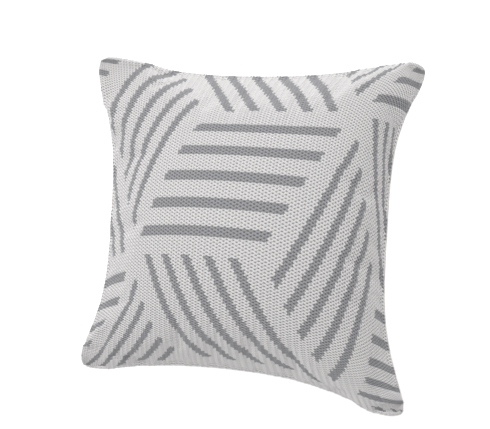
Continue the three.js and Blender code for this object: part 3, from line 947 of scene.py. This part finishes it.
def finished_material(finish):
    """The material of one finish, made the first time it is asked for."""
    made = bpy.data.materials.get(finish)
    if made:
        return made
    knit = bpy.context.scene.pillow_knit
    recipes = {
        # 0.22 and 0.75 are the shares of colour left by the painted shade in the loops' gaps, front and back.
        "cotton_jacquard_yarn": lambda: yarn_material(finish, knit.white, knit.grey, 0.22, 1.3),
        "cotton_back_yarn": lambda: yarn_material(finish, knit.back, None, 0.75, 1.0),
        # Spun polyester thread: round, slightly glossy, with a fine twist.
        "spun_polyester_thread": lambda: fibre_material(finish, "#E9E6E0", 0.4, SYNTHETIC, 0.05),
        # Herringbone polyester tape: flat and even, a little silky.
        "woven_polyester_tape": lambda: woven_material(finish, "#DCDAD4", 0.4, SYNTHETIC),
        # Extruded nylon monofilament: smooth and slightly see-through, so it looks milky.
        "nylon_monofilament": lambda: fibre_material(
            finish, "#E6E5E0", 0.8, (("Roughness", 0.3), ("IOR", 1.53), ("Subsurface Weight", 0.1)), 0.02),
        "nickel_plated_zinc": lambda: plated_material(finish, "#C9C9C6"),
        # Cotton percale: a thin tight plain weave with a flat matt face.
        "cotton_percale": lambda: woven_material(finish, "#F2F1EE", 0.5, CLOTH),
        # Hollow polyester fibre: bright, springy fluff that scatters light.
        "polyester_fibrefill": lambda: fibre_material(
            finish, "#F6F6F4", 3.0, (("Roughness", 0.95), ("IOR", 1.57), ("Sheen Weight", 0.6)), 1.0),
        # Polyester satin ribbon: long floats give it a smooth sheen.
        "satin_ribbon": lambda: woven_material(
            finish, "#F3F2EF", 0.3, (("Roughness", 0.35), ("IOR", 1.57), ("Sheen Weight", 0.3))),
    }
    return recipes[finish]()


def dress(piece, finish):
    """Gives a piece, new or packed, one finish in all its material slots."""
    if not piece.data.materials:
        piece.data.materials.append(finished_material(finish))
    for slot in piece.material_slots:
        slot.material = finished_material(finish)


def place_piece(piece, finish, body, slot, *nodes):
    """Finishes a new piece, ties it to its body and hides the nodes it stands for. The slot is not used."""
    dress(piece, finish)
    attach(piece, body)
    if nodes:
        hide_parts(*nodes)


# ---------------------------------------------------------------- operators

class PILLOW_OT_front(bpy.types.Operator):
    """Makes the jacquard front panel"""
    bl_idname = "pillow.front"
    bl_label = "Front panel"

    def execute(self, context):
        piece = make_front(context.scene.pillow_shape, context.scene.pillow_knit)
        place_piece(piece, "cotton_jacquard_yarn", "cushion", "knit_front", "cover_front")
        return {"FINISHED"}


class PILLOW_OT_back(bpy.types.Operator):
    """Makes the plain back panel with its zip opening"""
    bl_idname = "pillow.back"
    bl_label = "Back panel"

    def execute(self, context):
        piece = make_back(context.scene.pillow_shape, context.scene.pillow_knit)
        place_piece(piece, "cotton_back_yarn", "cushion", "knit_back", "cover_back")
        return {"FINISHED"}


class PILLOW_OT_threads(bpy.types.Operator):
    """Makes the overlock threads on the four seam allowances"""
    bl_idname = "pillow.threads"
    bl_label = "Overlock threads"

    def execute(self, context):
        for side_name in INWARD:
            path = overlock_path(context.scene.pillow_shape, side_name)
            piece = tube(f"overlock_loops_{side_name}", path, OVERLOCK_RADIUS, STRAND_SIDES)
            place_piece(piece, "spun_polyester_thread", "cushion", "thread", f"overlock_thread_{side_name}")
        return {"FINISHED"}


class PILLOW_OT_zip(bpy.types.Operator):
    """Makes the two nylon coils and finishes the tapes and stops"""
    bl_idname = "pillow.zip"
    bl_label = "Zip chain"

    def execute(self, context):
        origin = zip_middle()
        for name, side in (("front", 1), ("back", -1)):
            piece = tube(f"nylon_coil_{name}", coil_path(origin, side), COIL_STRAND, STRAND_SIDES)
            place_piece(piece, "nylon_monofilament", "cushion", "zip_coil", f"zipper_coil_{name}")
            dress(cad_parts[f"zipper_tape_{name}"], "woven_polyester_tape")
            dress(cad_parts[f"zipper_top_stop_{name}"], "nickel_plated_zinc")
        dress(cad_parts["zipper_bottom_stop"], "nickel_plated_zinc")
        return {"FINISHED"}


class PILLOW_OT_slider(bpy.types.Operator):
    """Finishes the zip's slider and pull"""
    bl_idname = "pillow.slider"
    bl_label = "Slider and pull"

    def execute(self, context):
        for name in ("zipper_slider", "zipper_pull"):
            dress(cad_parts[name], "nickel_plated_zinc")
        return {"FINISHED"}


class PILLOW_OT_insert(bpy.types.Operator):
    """Makes the insert's casing and its filling"""
    bl_idname = "pillow.insert"
    bl_label = "Insert"

    def execute(self, context):
        shape = context.scene.pillow_shape
        casing = inner_form("percale_casing", shape, *CASING)
        place_piece(casing, "cotton_percale", "cushion", "lining", "insert_shell_front", "insert_shell_back")
        filling = inner_form("fibre_filling", shape, *FILLING)
        place_piece(filling, "polyester_fibrefill", "cushion", "fibre", "insert_filling")
        return {"FINISHED"}


class PILLOW_OT_label(bpy.types.Operator):
    """Makes the stitches that close the insert, and the blank care label"""
    bl_idname = "pillow.label"
    bl_label = "Care label"

    def execute(self, context):
        shape = context.scene.pillow_shape
        stitches = tube("closing_stitches", closing_path(shape), CLOSING_RADIUS, STITCH_SIDES)
        place_piece(stitches, "spun_polyester_thread", "cushion", "thread", "insert_closing_thread")
        place_piece(make_label(shape), "satin_ribbon", "cushion", "label", "care_label")
        return {"FINISHED"}


# The softboxes: name, place, side in metres and power in watts. Both are turned to the same aim.
SOFTBOXES = (
    ("overhead_softbox", (-0.5, 1.1, 1.7), 1.4, 17),
    ("front_softbox", (0.5, -0.3, 2.4), 1.6, 5),
)
LIGHT_AIM = (0, 0, 0.08)
WORLD_STRENGTH = 0.45
FLOOR_GLOW = 0.5
FLOOR_HALF, FLOOR_POINTS, FLOOR_DROP = 4, 9, 0.4 * MM
WHITE = (1, 1, 1, 1)


def soft_light(name, place, aim, size, power):
    """A square softbox at a place, turned to its aim."""
    data = bpy.data.lights.new(name, "AREA")
    data.shape = "SQUARE"
    data.size = size
    data.energy = power
    lamp = bpy.data.objects.new(name, data)
    bpy.context.scene.collection.objects.link(lamp)
    lamp.location = place
    lamp.rotation_euler = (Vector(aim) - Vector(place)).to_track_quat("-Z", "Y").to_euler()


# The sensor's width, and how far right of its centre and below it the pillow's middle falls, in mm.
SENSOR = 36.0
AIM_RIGHT, AIM_DOWN = 0.9037, 0.8082


class PILLOW_OT_stage(bpy.types.Operator):
    """Makes the floor, the soft lights and the camera"""
    bl_idname = "pillow.stage"
    bl_label = "Stage"

    def execute(self, context):
        stage = context.scene.pillow_stage
        seam_height = context.scene.pillow_shape.seam_height
        side = np.linspace(-FLOOR_HALF, FLOOR_HALF, FLOOR_POINTS)
        x, y = np.meshgrid(side, side)
        ground = np.stack([x, y, np.full_like(x, -FLOOR_DROP)], axis=-1).reshape(-1, 3)
        floor = mesh_of("studio_floor", ground, [quads(FLOOR_POINTS, FLOOR_POINTS)])
        paper, shader = new_material("seamless_paper", (("Roughness", 0.9), ("Specular IOR Level", 0.1)))
        shader.inputs["Base Color"].default_value = tuple(stage.floor)
        shader.inputs["Emission Color"].default_value = WHITE
        shader.inputs["Emission Strength"].default_value = FLOOR_GLOW
        floor.data.materials.append(paper)

        world = bpy.data.worlds.new("studio")
        world.use_nodes = True
        background = world.node_tree.nodes["Background"]
        background.inputs["Color"].default_value = WHITE
        background.inputs["Strength"].default_value = WORLD_STRENGTH
        context.scene.world = world
        for name, place, size, power in SOFTBOXES:
            soft_light(name, place, LIGHT_AIM, size, power)
        context.scene.view_settings.view_transform = "Standard"

        yaw, pitch, roll = stage.yaw, stage.pitch, stage.roll
        toward = np.array((np.sin(yaw) * np.cos(pitch), -np.sin(pitch), np.cos(yaw) * np.cos(pitch)))
        level_up = np.array((0, 1, 0)) - toward * toward[1]
        level_up /= np.linalg.norm(level_up)
        level_right = np.cross(level_up, toward)
        right = np.cos(roll) * level_right + np.sin(roll) * level_up
        up = -np.sin(roll) * level_right + np.cos(roll) * level_up
        ahead = -toward * stage.lens - right * AIM_RIGHT + up * AIM_DOWN
        ahead /= np.linalg.norm(ahead)
        right = right - ahead * (right @ ahead)
        right /= np.linalg.norm(right)
        up = np.cross(right, ahead)
        place = np.array((0, 0, seam_height)) + toward * stage.distance
        camera_data = bpy.data.cameras.new("studio_camera")
        camera_data.sensor_width = SENSOR
        camera_data.lens = stage.lens
        camera = bpy.data.objects.new("studio_camera", camera_data)
        context.scene.collection.objects.link(camera)
        turn = np.eye(4)
        turn[:3, 0], turn[:3, 1], turn[:3, 2], turn[:3, 3] = right, up, -ahead, place
        camera.matrix_world = Matrix(turn.tolist())
        context.scene.camera = camera
        return {"FINISHED"}


class PILLOW_PT_panel(bpy.types.Panel):
    """Lists the pillow's pieces in the sidebar"""
    bl_label = "Knitted throw pillow"
    bl_idname = "PILLOW_PT_panel"
    bl_space_type = "VIEW_3D"
    bl_region_type = "UI"
    bl_category = "Pillow"

    def draw(self, context):
        for group in ("pillow_shape", "pillow_knit", "pillow_stage"):
            settings = getattr(context.scene, group)
            column = self.layout.column(align=True)
            for name in settings.__annotations__:
                column.prop(settings, name)
        for operator in OPERATORS:
            self.layout.operator(operator.bl_idname)


SETTINGS = (("pillow_shape", PillowShape), ("pillow_knit", PillowKnit), ("pillow_stage", PillowStage))
OPERATORS = (PILLOW_OT_stage, PILLOW_OT_front, PILLOW_OT_back, PILLOW_OT_threads, PILLOW_OT_zip,
             PILLOW_OT_slider, PILLOW_OT_insert, PILLOW_OT_label)


def register():
    for name, group in SETTINGS:
        bpy.utils.register_class(group)
        setattr(bpy.types.Scene, name, PointerProperty(type=group))
    for made in (*OPERATORS, PILLOW_PT_panel):
        bpy.utils.register_class(made)


def unregister():
    for made in reversed((*OPERATORS, PILLOW_PT_panel)):
        bpy.utils.unregister_class(made)
    for name, group in reversed(SETTINGS):
        delattr(bpy.types.Scene, name)
        bpy.utils.unregister_class(group)


def main():
    register()
    bpy.ops.pillow.stage()
    bpy.ops.pillow.front()
    bpy.ops.pillow.back()
    bpy.ops.pillow.threads()
    bpy.ops.pillow.zip()
    bpy.ops.pillow.slider()
    bpy.ops.pillow.insert()
    bpy.ops.pillow.label()
    bpy.context.view_layer.update()


if __name__ == "__main__":
    main()
